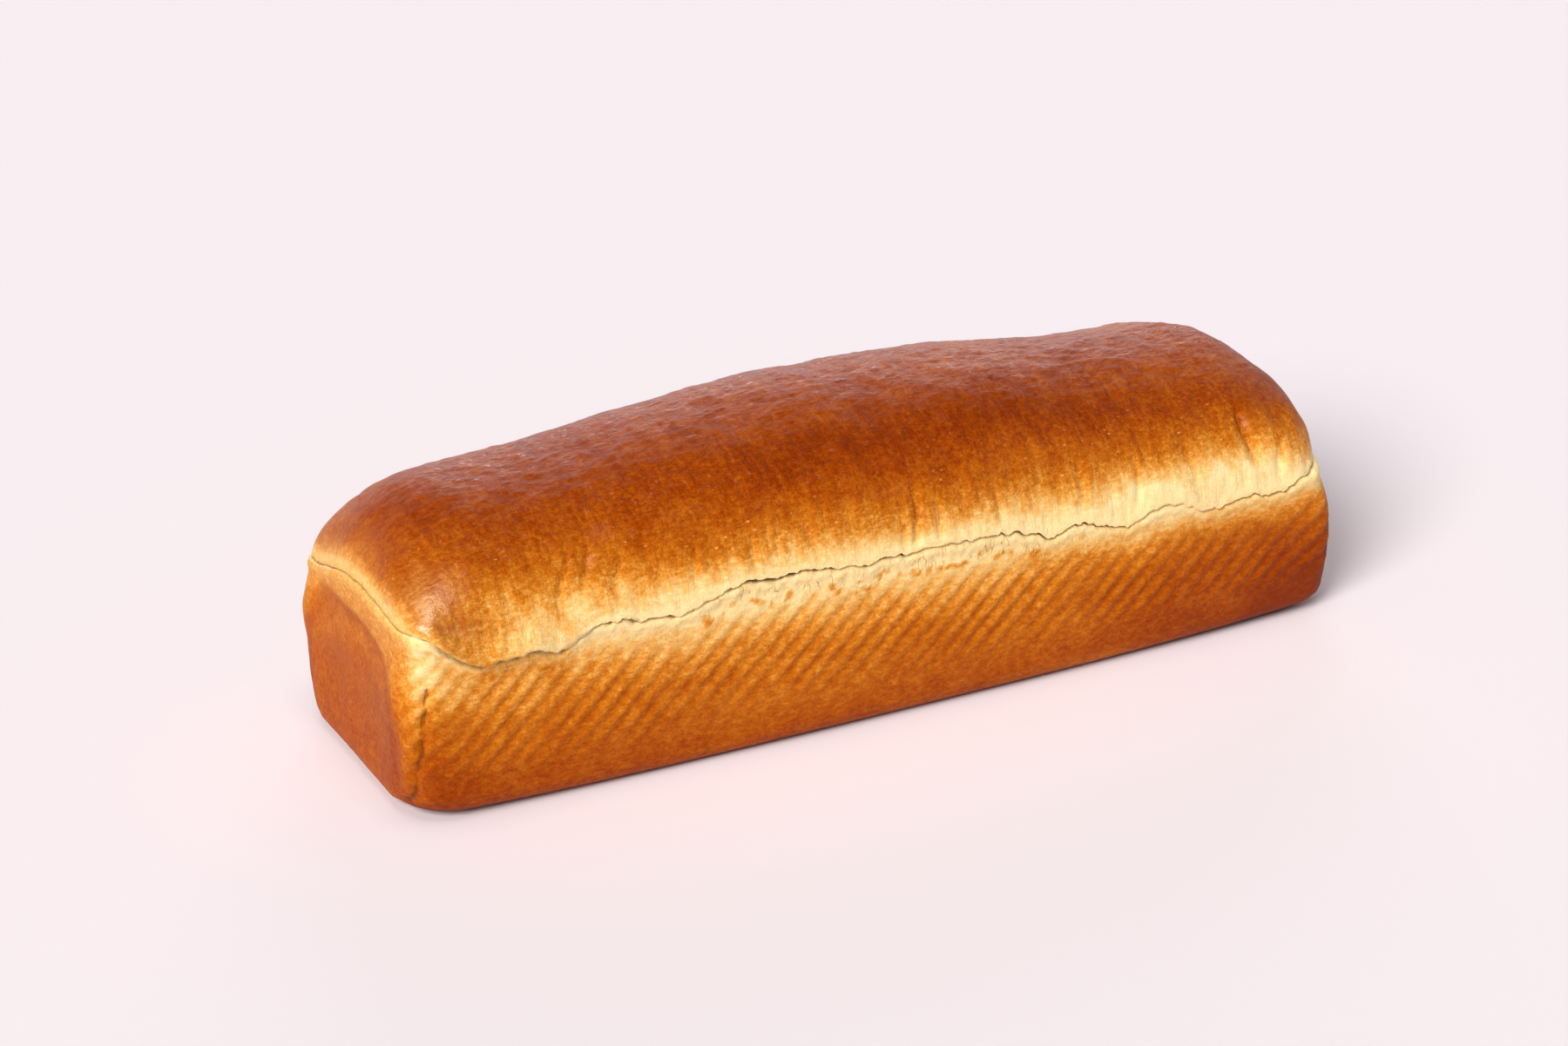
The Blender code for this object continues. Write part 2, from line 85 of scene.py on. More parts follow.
loaf = {
    "halfLength": 204.0, "halfWidth": 60.0,      # at the break line
    "wallTop": 70.0,                             # usual height of the break line, where the taper ends
    "leftDraft": 1.0, "rightDraft": -4.0,        # the right end has sagged out a little at the bottom
    "sideDraft": 2.0,                            # the tin tapers this much toward its bottom
    "cornerRight": 10.0, "cornerTop": 15.0, "cornerBottom": 24.0, "bottomRound": 8.0,
    "sideBow": 3.2, "bowPower": 2.5, "wallBelly": 0.9,
    "endDish": 3.2, "endBelly": 4.5, "leftTopIn": 3.5, "rightOut": 2.2, "rightTopIn": 4.0, "endLift": 2.6,
    "crownLeft": 42.0, "crownRight": 31.0,       # how far the crown draws in above each end
    "crownOut": 1.0, "crownLeftIn": 4.5, "crownRightIn": 0.5, "leftFarIn": 3.0,
    "crownSidePower": 2.04, "crownRisePower": 1.75, "crownRounding": 2.0,
    "capAngle": 45.0,                            # degrees up the crown; above it one patch takes over
    "lipOut": 3.6, "lipDrop": 2.4, "lipEnd": -137.5,     # crust folded over at the near left corner
    # height of the break line: share of the way along each side, then height
    "breakFront": [(0.0, 80), (0.03, 79.5), (0.045, 75), (0.06, 69.8), (0.08, 67.2), (0.125, 68.4),
                   (0.155, 64.2), (0.17, 68), (0.19, 72.6), (0.21, 72), (0.24, 69.3), (0.27, 69), (0.3, 72),
                   (0.35, 75.5), (0.42, 74.5), (0.48, 72.2), (0.52, 72.8), (0.57, 72.2), (0.61, 72.5),
                   (0.65, 69.5), (0.68, 65.4), (0.705, 68), (0.72, 67), (0.76, 62.3), (0.8, 67.7),
                   (0.83, 65.8), (0.86, 60.4), (0.9, 61.8), (0.94, 60.8), (0.965, 64.3), (1.0, 66)],
    # the same line without its short steps, for the body of the crown
    "softFront": [(0.0, 80), (0.07, 71), (0.16, 69), (0.3, 71.5), (0.42, 74), (0.58, 72.5),
                  (0.72, 67), (0.86, 64), (1.0, 66)],
    "breakBack": [(0.0, 66), (0.12, 63.5), (0.3, 70), (0.5, 73.5), (0.66, 71), (0.85, 64.5), (1.0, 66)],
    "breakLeft": [(0.0, 80), (0.2, 82), (0.36, 83.5), (0.52, 82), (0.8, 71), (1.0, 66)],
    "breakRight": [(0.0, 66), (0.16, 75), (0.35, 81), (0.65, 80), (1.0, 66)],
    # how open the crack is: place (0-1 front, 1-2 right end, 2-3 back, 3-4 left end), then share
    "openness": [(0.0, 0.15), (0.02, 0.7), (0.05, 1.0), (0.15, 1.0), (0.161, 0.6), (0.167, 0.05), (0.2, 0.15),
                 (0.24, 0.4), (0.3, 0.4), (0.34, 0.75), (0.45, 0.85), (0.6, 0.7), (0.66, 0.55), (0.69, 0.3),
                 (0.72, 0.55), (0.765, 0.5), (0.785, 0.15), (0.81, 0.85), (0.835, 0.2), (0.87, 0.55),
                 (0.91, 0.3), (0.955, 0.6), (1.0, 0.3), (1.5, 0.5), (2.0, 0.3), (2.3, 0.7), (2.6, 0.5),
                 (3.0, 0.25), (3.4, 0.6), (3.8, 0.8), (3.96, 0.6), (4.0, 0.15)],
    # the ridge of the crown: share of the half length, then height
    "ridge": [(-1.0, 107), (-0.9, 111), (-0.8, 113), (-0.59, 114), (-0.29, 120.3), (0.0, 123.2),
              (0.29, 120.6), (0.59, 112), (0.83, 109.5), (1.0, 107)],
    # soft lobes: centre x, centre y, reach along, reach across, height
    "lobes": [(-95, -24, 34, 20, 1.2), (-30, 10, 26, 26, 0.8), (48, -24, 30, 20, 1.2),
              (120, 4, 26, 26, 0.8), (10, 0, 11, 40, -1.3), (-142, 6, 18, 30, -0.8)],
    "nearBreak": 6.0, "rimBelly": 0.7,           # depth of the rim under the crack, and its swelling
    "longSteps": 330, "shortSteps": 76, "footRows": 5, "wallRows": 36, "rimRows": 9, "crownRows": 36,
}


def outline(turn, halfLong, halfShort, corner):
    # plan point on a rounded oblong, turn runs 0 to 4 round its sides from the near left corner
    turn = np.mod(turn, 4)
    side = np.floor(turn).astype(int)
    mine = np.where(side % 2 == 0, halfLong, halfShort)
    other = np.where(side % 2 == 0, halfShort, halfLong)
    corner = np.minimum(corner, np.minimum(mine, other))
    arc = corner * math.pi / 4
    straight = 2 * (mine - corner)
    along = (turn - side) * (straight + 2 * arc)
    small = np.maximum(corner, 1e-9)
    first = np.where(along < arc, math.pi / 4 - along / small, 0)
    last = np.where(along > arc + straight, (along - arc - straight) / small, 0)
    run = np.clip(along - arc, 0, straight) - (mine - corner) - corner * np.sin(first) + corner * np.sin(last)
    out = -(other - corner) - corner * np.minimum(np.cos(first), np.cos(last))
    return np.choose(side, [run, -out, -run, out]), np.choose(side, [out, run, -out, -run])


def breakHeight(x, y, softness=0.0):
    # height of the break line over a plan point, blended from the four sides; softness 1 has no short steps
    u = np.clip((x / loaf["halfLength"] + 1) / 2, 0, 1)
    v = np.clip((y / loaf["halfWidth"] + 1) / 2, 0, 1)
    near, far = loaf["breakFront"], loaf["breakBack"]
    front = throughPoints(near, u) * (1 - softness) + throughPoints(loaf["softFront"], u) * softness
    height = front * (1 - v) + throughPoints(far, u) * v
    height += throughPoints(loaf["breakLeft"], v) * (1 - u) + throughPoints(loaf["breakRight"], v) * u
    nearEnds = near[0][1] * (1 - u) + near[-1][1] * u
    farEnds = far[0][1] * (1 - u) + far[-1][1] * u
    return height - nearEnds * (1 - v) - farEnds * v


def ridgeHeight(x, y):
    height = throughPoints(loaf["ridge"], np.clip(x / loaf["halfLength"], -1, 1))
    for atX, atY, reachX, reachY, rise in loaf["lobes"]:
        height = height + rise * hump(x, atX, reachX) * hump(y, atY, reachY)
    return height


def bowed(x, y):
    share = np.clip(np.abs(x) / loaf["halfLength"], 0, 1)
    return y + loaf["sideBow"] * (1 - share ** loaf["bowPower"]) * y / loaf["halfWidth"]


def farLeft(x, y):
    # how much the far left corner is drawn in
    towardEnd = smoothStep(loaf["halfLength"] - 40, loaf["halfLength"] - 10, -x)
    return loaf["leftFarIn"] * smoothStep(5, 50, y) * towardEnd


def lipShare(x, y):
    # 1 where the crust folds over at the near left corner
    fold = smoothStep(-197, -184, x) * (1 - smoothStep(loaf["lipEnd"] - 20, loaf["lipEnd"] + 2, x))
    return fold * (1 - smoothStep(-loaf["halfWidth"] + 3, -loaf["halfWidth"] + 17, y))


def wallPoint(turn, height, outward):
    # plan point on the wall at a height: tapered by the tin, bowed, and sunk in between the ends' edges
    nominal = height / loaf["wallTop"]
    halfLong = loaf["halfLength"] + outward
    halfShort = loaf["halfWidth"] - loaf["sideDraft"] * (1 - nominal) + outward
    corner = loaf["cornerBottom"] + (loaf["cornerTop"] - loaf["cornerBottom"]) * nominal + 0.4 * outward
    toRight = smoothStep(0.5, 1, turn) * (1 - smoothStep(2, 2.5, turn))
    x, y = outline(turn, halfLong, halfShort, corner + (loaf["cornerRight"] - corner) * toRight)
    swell = np.sin(math.pi * np.clip(nominal, 0, 1))
    across = np.clip(1 - (y / loaf["halfWidth"]) ** 2, 0, 1)
    onEnd = smoothStep(loaf["halfLength"] - 22, loaf["halfLength"] - 4, np.abs(x))
    bulge = loaf["endBelly"] - (loaf["endDish"] + loaf["endBelly"]) * across ** 1.3
    x = x + np.sign(x) * swell * onEnd * bulge
    toRightEnd, toLeftEnd = smoothStep(0, loaf["halfLength"], x), smoothStep(0, loaf["halfLength"], -x)
    x = x - (loaf["rightDraft"] * toRightEnd - loaf["leftDraft"] * toLeftEnd) * (1 - nominal)
    x = x + farLeft(x, y) * smoothStep(10, 35, height)
    x = x + onEnd * np.where(x < 0, loaf["leftTopIn"] * smoothStep(42, 66, height),
                              loaf["rightOut"] - loaf["rightTopIn"] * smoothStep(45, 75, height))
    onSide = smoothStep(loaf["halfWidth"] - 14, loaf["halfWidth"] - 3, np.abs(y))
    y = y + np.sign(y) * loaf["wallBelly"] * swell * onSide
    return x, bowed(x, y)


def crownRing(angle):
    # the crown's plan at an angle up its side: half length, half width, corner, and its shift to the right
    drawn = 1 - np.cos(angle) ** (2 / loaf["crownSidePower"])
    halfLong = loaf["halfLength"] - loaf["crownLeftIn"] * (1 - drawn) - loaf["crownLeft"] * drawn
    halfShort = np.maximum((loaf["halfWidth"] + loaf["crownOut"]) * (1 - drawn), 1e-4)
    rounding = np.clip(drawn * loaf["crownRounding"], 0, 1)
    corner = loaf["cornerTop"] + (halfShort - loaf["cornerTop"]) * rounding
    stretch = (loaf["crownLeft"] - loaf["crownRight"]) * drawn
    stretch = stretch + (loaf["crownLeftIn"] - loaf["crownRightIn"]) * (1 - drawn)
    return halfLong, halfShort, np.minimum(corner, halfShort), stretch


def crownPoint(turn, angle, outward, ragged):
    risen = np.sin(angle) ** (2 / loaf["crownRisePower"])
    halfLong, halfShort, corner, stretch = crownRing(angle)
    x, y = outline(turn, halfLong + outward, halfShort + outward, corner)
    x = x + stretch * smoothStep(0, loaf["halfLength"], x) + farLeft(x, y)
    base = breakHeight(x, y, smoothStep(math.radians(3), math.radians(30), angle)) + ragged
    return x, bowed(x, y), base + (ridgeHeight(x, y) - base) * risen


def capHeight(x, y):
    # height of the crown over a plan point inside its top ring, found by halving the angle
    low, high = np.zeros_like(x), np.full_like(x, math.pi / 2)
    share = np.clip(np.abs(x) / loaf["halfLength"], 0, 1)
    flatY = np.abs(y) / (1 + loaf["sideBow"] * (1 - share ** loaf["bowPower"]) / loaf["halfWidth"])
    for step in range(40):
        angle = (low + high) / 2
        halfLong, halfShort, corner, stretch = crownRing(angle)
        overX = np.abs(x - stretch * smoothStep(0, loaf["halfLength"], x)) - halfLong + corner
        overY = flatY - halfShort + corner
        reach = np.hypot(np.maximum(overX, 0), np.maximum(overY, 0)) + np.minimum(np.maximum(overX, overY), 0)
        low = np.where(reach < corner, angle, low)
        high = np.where(reach < corner, high, angle)
    flat = np.sign(y) * flatY
    base = breakHeight(x, flat, 1.0)
    return base + (ridgeHeight(x, flat) - base) * np.sin(low) ** (2 / loaf["crownRisePower"])


def tornEdge(turn):
    # the break line all round: its height, how it wanders as it tears, how open it is, where it folds over
    x, y = wallPoint(turn, loaf["wallTop"] + 0 * turn, 0)
    at = np.stack([x, y, 0 * x], axis=-1)
    ragged = 0.8 * rough(at, 11, 3) + 0.9 * rough(at, 3.4, 5, 2)
    # it wanders less at the near left corner and along the left end
    calm = hump(turn, 0.0, 0.03) + hump(turn, 4.0, 0.03) + smoothStep(3.0, 3.3, turn)
    ragged = ragged * (1 - 0.6 * np.clip(calm, 0, 1))
    openness = np.clip(throughPoints(loaf["openness"], turn) * (1 + 0.5 * rough(at, 6, 8)), 0.05, 1.2)
    fold = lipShare(x, y)
    return {"height": breakHeight(x, y) + ragged, "ragged": ragged, "openness": openness, "fold": fold,
            "gap": 0.26 + 0.4 * openness + 0.9 * fold,           # half the crack's width
            "depth": 0.5 + 2.0 * openness + 3.0 * fold}


# each ring is x, y, z, its distance above (+) or below (-) the break line, and how much painted shade it
# takes, in the crack and under the folded lip

def footRings(turn):
    rings = []
    for tilt in np.radians(np.linspace(-90, 0, loaf["footRows"])):
        height = loaf["bottomRound"] * (1 + math.sin(tilt)) + 0 * turn
        x, y = wallPoint(turn, height, -loaf["bottomRound"] * (1 - math.cos(tilt)))
        lift = loaf["endLift"] * np.clip(np.abs(x) / loaf["halfLength"], 0, 1) ** 4 if rings else 0
        rings.append((x, y, height + lift, height - loaf["wallTop"], 0.0))
    return rings


def wallRings(turn, tear):
    rings = []
    edge, gap, fold = tear["height"], tear["gap"], tear["fold"]
    for row in range(1, loaf["wallRows"] + 1):
        climb = row / loaf["wallRows"]
        height = loaf["bottomRound"] + (edge - gap - loaf["nearBreak"] - loaf["bottomRound"]) * climb
        x, y = wallPoint(turn, height, 0)
        lift = loaf["endLift"] * (1 - climb) * np.clip(np.abs(x) / loaf["halfLength"], 0, 1) ** 4
        rings.append((x, y, height + lift, height - edge, 0.0))
    for below in np.linspace(loaf["nearBreak"], 0, loaf["rimRows"] + 1)[1:-1]:
        z = edge - gap - below
        swell = loaf["rimBelly"] * hump(below, 2.2, 2.0) - 0.5 * hump(below, 0, 0.7) * tear["openness"]
        x, y = wallPoint(turn, z, swell)
        # its last value is painted shadow on the wall under the folded-over lip
        rings.append((x, y, z, z - edge, 0.75 * fold * hump(below, 0, 1.3)))
    return rings


def crackRings(turn, tear):
    # down into the crack and out again to the crown's edge, which hangs over where it is folded
    rings = []
    for share, lipped in ((-1.0, 0), (-0.5, 0), (0.1, 0), (0.6, 0.45), (1.0, 1)):
        z = tear["height"] + tear["gap"] * share
        if share < 1:
            x, y = wallPoint(turn, z, -tear["depth"] * (1 - share * share) ** 0.7 - 0.3)
        else:
            foot = np.full_like(turn, math.radians(0.5))
            x, y = crownPoint(turn, foot, loaf["lipOut"] * tear["fold"] * 0.6, tear["ragged"])[:2]
        # painted shade inside the crack, darkest at its middle
        paintedShade = (1 - share * share) * (0.6 + 0.4 * tear["openness"])
        rings.append((x, y, z - loaf["lipDrop"] * tear["fold"] * lipped, z - tear["height"], paintedShade))
    return rings


def crownRings(turn, tear, x, y):
    # close together by the break and wider above it; x and y are those of the crown's edge
    rings = []
    edge = tear["height"]
    lastShare = math.sin(math.radians(loaf["capAngle"])) ** (2 / loaf["crownRisePower"])
    firstShare = tear["gap"] / np.maximum(ridgeHeight(x, y) - edge, 5)
    for row in range(1, loaf["crownRows"] + 1):
        climb = (row / loaf["crownRows"]) ** 1.35
        share = lastShare * climb + firstShare * (1 - climb)
        angle = np.arcsin(np.clip(share, 0, 1) ** (loaf["crownRisePower"] / 2))
        folded = tear["fold"] * (1 - smoothStep(0.05, 0.24, climb))
        fade = 1 - smoothStep(0, 0.6, climb)
        bulge = loaf["lipOut"] * folded * (0.6 + 0.4 * smoothStep(0, 0.03, climb))
        x, y, z = crownPoint(turn, angle, bulge, tear["ragged"] * fade)
        above = (z - edge) * fade + (z - breakHeight(x, y, 1.0)) * (1 - fade)
        rings.append((x, y, z - loaf["lipDrop"] * folded, above, 0.0))
    return rings


def crownPatch(ring, nl, ns):
    # the patch that spans the last ring, blended from its four sides
    u, v = np.meshgrid(np.arange(1, nl) / nl, np.arange(1, ns) / ns, indexing="ij")
    i, j = np.meshgrid(np.arange(1, nl), np.arange(1, ns), indexing="ij")
    front, right = ring[i], ring[nl + j]
    back, left = ring[2 * nl + ns - i], ring[(2 * nl + 2 * ns - j) % len(ring)]
    u, v = u[..., None], v[..., None]
    patch = front * (1 - v) + back * v + left * (1 - u) + right * u
    patch = patch - ring[0] * (1 - u) * (1 - v) - ring[nl] * u * (1 - v)
    patch = (patch - ring[nl + ns] * u * v - ring[2 * nl + ns] * (1 - u) * v).reshape(-1, 3)
    patch[:, 2] = capHeight(patch[:, 0], patch[:, 1])
    return patch


def buildCrust():
    nl, ns = loaf["longSteps"], loaf["shortSteps"]
    turn = np.concatenate([side + np.arange(n) / n for side, n in enumerate((nl, ns, nl, ns))])
    tear = tornEdge(turn)
    rings = footRings(turn) + wallRings(turn, tear) + crackRings(turn, tear)
    rings += crownRings(turn, tear, *rings[-1][:2])
    table = np.array([[part + 0 * turn for part in ring] for ring in rings])
    patch = crownPatch(table[-1, :3].T, nl, ns)
    none = np.zeros(len(patch))
    points = np.concatenate([table[:, :3].transpose(0, 2, 1).reshape(-1, 3), patch])
    past = np.concatenate([table[:, 3].ravel(), patch[:, 2] - breakHeight(patch[:, 0], patch[:, 1], 1.0)])
    turns = np.concatenate([np.tile(turn, len(rings)), none - 1])
    return points, past, turns, np.concatenate([table[:, 4].ravel(), none]), len(rings)


def crustFaces(ringCount, nl, ns):
    columns = 2 * (nl + ns)
    base = np.arange(columns)
    after = (base + 1) % columns
    quads = []
    for row in range(ringCount - 1):
        low, high = row * columns, (row + 1) * columns
        quads.append(np.stack([low + base, low + after, high + after, high + base], axis=-1))
    top = (ringCount - 1) * columns
    grid = np.zeros((nl + 1, ns + 1), int)
    grid[1:nl, 1:ns] = ringCount * columns + np.arange((nl - 1) * (ns - 1)).reshape(nl - 1, ns - 1)
    grid[:, 0] = top + np.arange(nl + 1)
    grid[nl, :] = top + nl + np.arange(ns + 1)
    grid[:, ns] = top + 2 * nl + ns - np.arange(nl + 1)
    grid[0, 1:] = top + (2 * nl + 2 * ns - np.arange(1, ns + 1)) % columns
    corners = (grid[:-1, :-1], grid[1:, :-1], grid[1:, 1:], grid[:-1, 1:])
    quads.append(np.stack(corners, axis=-1).reshape(-1, 4))
    faces = np.concatenate(quads).tolist()
    faces.append(list(range(columns - 1, -1, -1)))                  # the flat bottom
    return faces


def makePiece(name, points, faces):
    mesh = bpy.data.meshes.new(name)
    mesh.from_pydata(points.tolist(), [], faces)
    mesh.update()
    mesh.shade_smooth()
    piece = bpy.data.objects.new(name, mesh)
    bpy.context.scene.collection.objects.link(piece)
    return piece


points, past, turns, paintedCrackShade, ringCount = buildCrust()
crust = makePiece("crust", points, crustFaces(ringCount, loaf["longSteps"], loaf["shortSteps"]))
print("crust shaped:", len(points), "points")

skin = {
    # ribs pressed by the tin: how many from corner to corner, height, lean, and where they fade out
    "ribsLong": 42, "ribsShort": 12, "ribHeight": 0.5, "ribLean": 1.0, "ribFrom": 64.0, "cornerSaving": 6.5,
    "ribFoot": 18.0, "ribTopGap": 12.0, "ribEndShare": 0.12,
    # soft unevenness of the whole loaf, the crown and the wall, and of the skin that wrinkled as it cooled
    "uneven": 0.5, "crownUneven": 0.28, "wallUneven": 0.16,
    "wrinkleBroad": 0.32, "wrinkleFine": 0.26, "topGrain": 0.26,
    # wrinkles pulled up the crown's front: place along the loaf, foot and top height, lean, width, depth
    "wrinkles": [(11, 74, 99, 0.10, 1.5, 0.9), (5, 74, 92, 0.05, 1.3, 0.6), (21, 76, 96, 0.10, 1.5, 0.5),
                 (48, 74, 90, 0.0, 1.4, 0.5), (-33, 80, 96, -0.2, 1.6, 0.5), (-60, 80, 94, 0.25, 1.6, 0.4),
                 (-139, 84, 97, 0.6, 1.6, 0.8), (-128, 86, 99, 0.5, 1.8, 0.9), (-116, 84, 97, 0.5, 1.7, 0.7),
                 (-104, 88, 99, 0.4, 1.4, 0.5), (-84, 82, 97, 0.3, 1.3, 0.5), (86, 72, 92, 0.1, 1.6, 0.6),
                 (112, 70, 88, 0.1, 1.6, 0.6), (140, 72, 90, -0.1, 1.8, 0.7), (170, 76, 97, -0.15, 2.2, 1.6),
                 (181, 68, 84, 0.1, 1.8, 0.8)],
    "wrinkleDepth": 1.9,
    # the left end's sunken panel, an arch: its depth and grain, half width, springing height and rise
    "dish": 1.7, "dishGrain": 0.22,
    "panelWide": 53.0, "panelFrom": 30.0, "panelRise": 39.0, "panelPower": 2.6,
    "blob": 1.6,                                  # pale bulge under the fold at the near left corner
    "swelling": 1.5, "swellingAt": (-189, 85),    # tight skin above that fold: its place and height
    "crease": 1.2, "creaseAt": (-193.4, 0.085),   # upright crease beside the same corner, and its lean
    "torn": 0.42,                                 # rifts in the torn crumb under the break
}
normals = np.zeros(len(points) * 3)
crust.data.vertex_normals.foreach_get("vector", normals)
normals = normals.reshape(-1, 3)
x, y, z = points.T
side = np.floor(np.mod(turns, 4)).astype(int)
isFront = smoothStep(-0.2, -0.75, normals[:, 1]) * (y < 0)
isLeft = smoothStep(-0.3, -0.8, normals[:, 0]) * (x < 0)
isCrown = smoothStep(1.0, 5.0, past)
isWall = 1 - smoothStep(-3, -0.5, past)
nearCorner = smoothStep(-50, -58, y) * (x < 0)

# ribs, faint on the ends
halfSide = np.where(side % 2 == 0, loaf["halfLength"], loaf["halfWidth"])
count = np.where(side % 2 == 0, skin["ribsLong"], skin["ribsShort"])
lean = (skin["ribFrom"] - z) * skin["ribLean"] / (2 * halfSide - skin["cornerSaving"])
wave = np.cos(2 * math.pi * (np.mod(turns, 1) + lean) * count)
ribTop = past - 7 * smoothStep(-125, -150, x)
ribRise = smoothStep(skin["ribFoot"] - 5, skin["ribFoot"] + 14, z)
ribRise = ribRise * (1 - smoothStep(-skin["ribTopGap"] - 8, -skin["ribTopGap"] + 6, ribTop))
ribRise = ribRise * np.where(side % 2 == 0, 1, skin["ribEndShare"]) * (turns >= 0)
ribs = wave * ribRise * np.clip(0.85 + 0.5 * rough(points, 22, 2), 0.1, 1.4)
relief = skin["ribHeight"] * ribs

# soft unevenness, and wrinkles that run up and over the crown
relief += skin["uneven"] * rough(points, 38, 11) * smoothStep(2, 12, z)
relief += skin["crownUneven"] * rough(points, 13, 12) * isCrown
relief += skin["wallUneven"] * rough(points, 14, 13) * isWall * smoothStep(2, 10, z)
drawn = 1 - smoothStep(86, 112, z)
broad = skin["wrinkleBroad"] * rough(points, (5.0, 34, 26), 14) * (0.25 + 0.75 * drawn)
fine = skin["wrinkleFine"] * rough(points, (2.4, 14, 9), 15) * (0.3 + 0.7 * drawn)
relief += (broad * smoothStep(3, 14, past) + fine) * isCrown * (1 - isLeft)
relief += skin["topGrain"] * rough(points, (8, 3.4, 7), 17, 2) * isCrown * smoothStep(94, 108, z)
wrinkled = np.zeros(len(points))
strayed = x + 0.6 * rough(points, 7, 19)
for place, foot, top, slant, width, deep in skin["wrinkles"]:
    inside = hump(strayed, place + slant * (z - foot), width) * smoothStep(foot - 4, foot + 6, z)
    wrinkled += deep * inside * (1 - smoothStep(top - 7, top + 4, z)) * isFront
relief -= skin["wrinkleDepth"] * wrinkled * isCrown

# the left end: a sunken panel inside a raised border
power = skin["panelPower"]
overSpring = np.maximum(z - skin["panelFrom"], 0) / skin["panelRise"]
arch = ((np.abs(y) / skin["panelWide"]) ** power + overSpring ** power) ** (1 / power)
panel = smoothStep(-0.1, -0.5, normals[:, 0]) * (x < 0) * smoothStep(3, 9, z)
panel = panel * (1 - smoothStep(0.84, 1.04, arch))
relief += (skin["dishGrain"] * rough(points, (20, 4.5, 30), 18) - skin["dish"]) * panel

# the near left corner: the bulge, the swelling above the fold, and the crease that runs down from it
blob = hump(z, 70, 9) * hump(x, -198, 7) * nearCorner
relief += skin["blob"] * blob
swellX, swellZ = skin["swellingAt"]
relief += skin["swelling"] * hump(x, swellX, 9) * hump(z, swellZ, 7) * smoothStep(-30, -48, y)
creaseX, creaseLean = skin["creaseAt"]
offCrease = x - (creaseX - creaseLean * (64 - z)) + 0.8 * rough(points, 14, 23) + 0.5 * rough(points, 4, 33)
alongCrease = smoothStep(0, 4, z) * (1 - smoothStep(58, 66, z)) * smoothStep(-36, -46, y) * (x < 0)
relief += skin["crease"] * (0.5 * hump(offCrease, -3.2, 2.2) - hump(offCrease, 0, 1.4)) * alongCrease

# torn crumb under the break: fine upright rifts
spread = smoothStep(-100, -70, x) * (1 - smoothStep(60, 100, x)) * 0.75 + 0.25 + 0.5 * hump(x, -160, 16)
torn = hump(past, -5.0, 4.5) * isFront * spread
relief += torn * (skin["torn"] * rough(points, (2.6, 9, 7), 16) - 0.1)

# move every point out by its relief, then line the crust up with the solid it stands for
placed = points + normals * relief[:, None]
low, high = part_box("loaf")
placed -= np.array([(placed[:, 0].min() + placed[:, 0].max()) / 2 - (low.x + high.x) / 2 / mm,
                    (placed[:, 1].min() + placed[:, 1].max()) / 2 - (low.y + high.y) / 2 / mm,
                    placed[:, 2].min() - low.z / mm])
crust.data.vertices.foreach_set("co", (placed * mm).ravel())
crust.data.update()
print("crust wrinkled and ribbed")

oven = {
    # how brown the crust is (0 to 1) by distance above or below the pale band, given its height at each end
    "paleCentre": (74.5, 71.0),
    "byHeight": [(-75, 0.80), (-62, 0.68), (-50, 0.56), (-36, 0.50), (-26, 0.37), (-19, 0.24), (-13, 0.12),
                 (-9, 0.03), (-4, 0.0), (3, 0.02), (8, 0.12), (13, 0.29), (18, 0.46), (24, 0.62), (30, 0.76),
                 (36, 0.86), (42, 0.90), (52, 0.84)],
    "byHeightLeft": [(-75, 0.62), (-40, 0.52), (-24, 0.36), (-10, 0.3), (-4, 0.24), (0, 0.16), (3, 0.12),
                     (7, 0.28), (12, 0.52), (20, 0.68), (30, 0.88), (40, 0.95), (50, 0.93)],
    # browner by this much: the sunken panel and its rim, the bottom corners, the right part of the wall
    # (partly browner, partly painted shade where the light falls off to the right), the crown down to the
    # fold at the near left corner, islands in the torn crumb; darker in the grooves between ribs and along
    # the wrinkles; painted shade under the fold
    "panel": 0.13, "panelRim": 0.12, "corners": 0.24, "right": 0.2, "grooveDarkening": 0.10, "fold": 0.26,
    "islands": 0.3, "wrinkles": 0.06, "besideFold": 0.08, "shadeUnderFold": 0.14, "rightCrown": 0.05,
    # paler by this much: the bulge, beside the crease (a cream edge with a painted highlight on its ridge),
    # painted bounced light on the bottom edge, painted light on the flat top
    "blob": 0.42, "crease": 0.12, "bouncedGlow": 0.3, "top": (0.05, 0.1),
}
level = z - np.interp(x, (-200, 200), oven["paleCentre"]) + 7 * smoothStep(165, 200, x) * isCrown
bake = throughPoints(oven["byHeight"], level) * (1 - isLeft)
bake += throughPoints(oven["byHeightLeft"], past) * isLeft
blotches = 0.05 * rough(points, 34, 21) + 0.05 * rough(points, (6, 26, 20), 22, 2) * isCrown
blotches += 0.035 * rough(points, 9, 24, 2)
bake += blotches * smoothStep(3, 12, np.abs(past))
# partly real browning, partly painted shade: the wall darkens to the right where the light falls off
bake += oven["right"] * smoothStep(40, 180, x) * isWall * smoothStep(-6, -16, past)
# darker in the grooves between ribs and paler on the ribs
bake += oven["grooveDarkening"] * ((0.5 - 0.5 * wave) ** 2 - 0.35) * ribRise * isWall
bake += oven["panel"] * panel + oven["panelRim"] * hump(arch, 0.9, 0.1) * (panel > 0.001)
bake += oven["corners"] * smoothStep(150, 200, np.abs(x)) * (1 - smoothStep(8, 52, z)) * (1 - isLeft)
towardFold = smoothStep(-148, -180, x) * (1 - smoothStep(80, 92, z)) * smoothStep(0.5, 2.5, past)
bake += oven["fold"] * towardFold * isFront
bake += oven["besideFold"] * smoothStep(-70, -125, x) * hump(past, 8, 8) * isFront * isCrown
# painted shade on the wall under the overhanging fold
bake += oven["shadeUnderFold"] * smoothStep(-130, -142, x) * hump(past, -8, 7) * isFront
bake += oven["rightCrown"] * smoothStep(60, 140, x) * smoothStep(10, 20, past)
